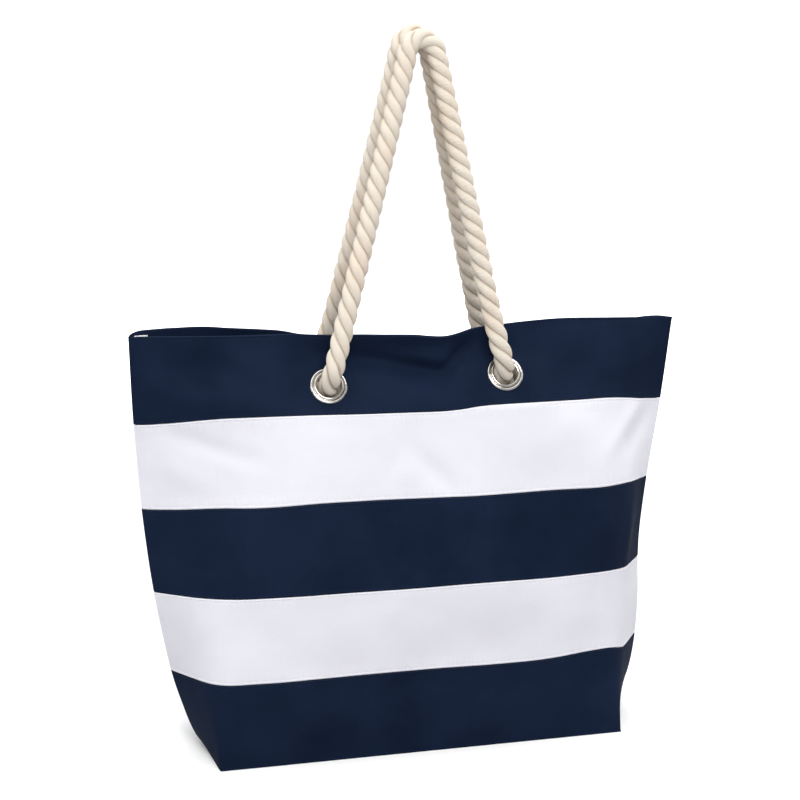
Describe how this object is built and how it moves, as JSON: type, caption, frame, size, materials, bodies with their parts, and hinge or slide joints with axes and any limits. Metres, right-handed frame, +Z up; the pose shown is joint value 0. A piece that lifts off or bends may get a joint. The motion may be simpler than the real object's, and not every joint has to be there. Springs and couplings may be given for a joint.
{
  "type": "beach bag",
  "caption": "Open-topped canvas tote with horizontal bands, boxed base corners, and two rope handles through metal eyelets.",
  "frame": {"origin": "centre of the base, on the ground it stands on", "axes": "+X to the right along the width, front faces -Y, +Z up"},
  "size_m": [0.508, 0.138, 0.6572],
  "materials": {
    "navy_canvas": "smooth satin-faced cotton canvas, deep navy",
    "white_canvas": "smooth satin-faced cotton canvas, white",
    "seam_tape": "plain white cotton tape",
    "cotton_rope": "three-strand twisted cotton rope, cream",
    "twine": "waxed cotton twine",
    "nickel": "bright nickel plate"
  },
  "bodies": {
    "bag": {"front_bottom_band": "navy_canvas", "front_lower_white_band": "white_canvas", "front_middle_band": "navy_canvas", "front_upper_white_band": "white_canvas", "front_top_band": "navy_canvas", "front_facing": "navy_canvas", "back_bottom_band": "navy_canvas", "back_lower_white_band": "white_canvas", "back_middle_band": "navy_canvas", "back_upper_white_band": "white_canvas", "back_top_band": "navy_canvas", "back_facing": "navy_canvas", "base_seam_tape": "seam_tape", "left_side_tape": "seam_tape", "right_side_tape": "seam_tape", "left_corner_tape": "seam_tape", "right_corner_tape": "seam_tape", "front_left_eyelet": "nickel", "front_left_washer": "nickel", "front_left_knot": "cotton_rope", "front_left_whipping": "twine", "front_right_eyelet": "nickel", "front_right_washer": "nickel", "front_right_knot": "cotton_rope", "front_right_whipping": "twine", "back_left_eyelet": "nickel", "back_left_washer": "nickel", "back_left_knot": "cotton_rope", "back_left_whipping": "twine", "back_right_eyelet": "nickel", "back_right_washer": "nickel", "back_right_knot": "cotton_rope", "back_right_whipping": "twine"},
    "front_handle": {"front_handle_rope": "cotton_rope"},
    "back_handle": {"back_handle_rope": "cotton_rope"}
  },
  "joints": [
    {"name": "front_handle_swing", "type": "hinge", "parent": "bag", "child": "front_handle", "pos_m": [0, -0.04539, 0.35073], "axis": [1, 0, 0], "range_deg": [0, 150]},
    {"name": "back_handle_swing", "type": "hinge", "parent": "bag", "child": "back_handle", "pos_m": [0.0055, 0.04539, 0.35073], "axis": [-1, 0, 0], "range_deg": [0, 150]}
  ]
}
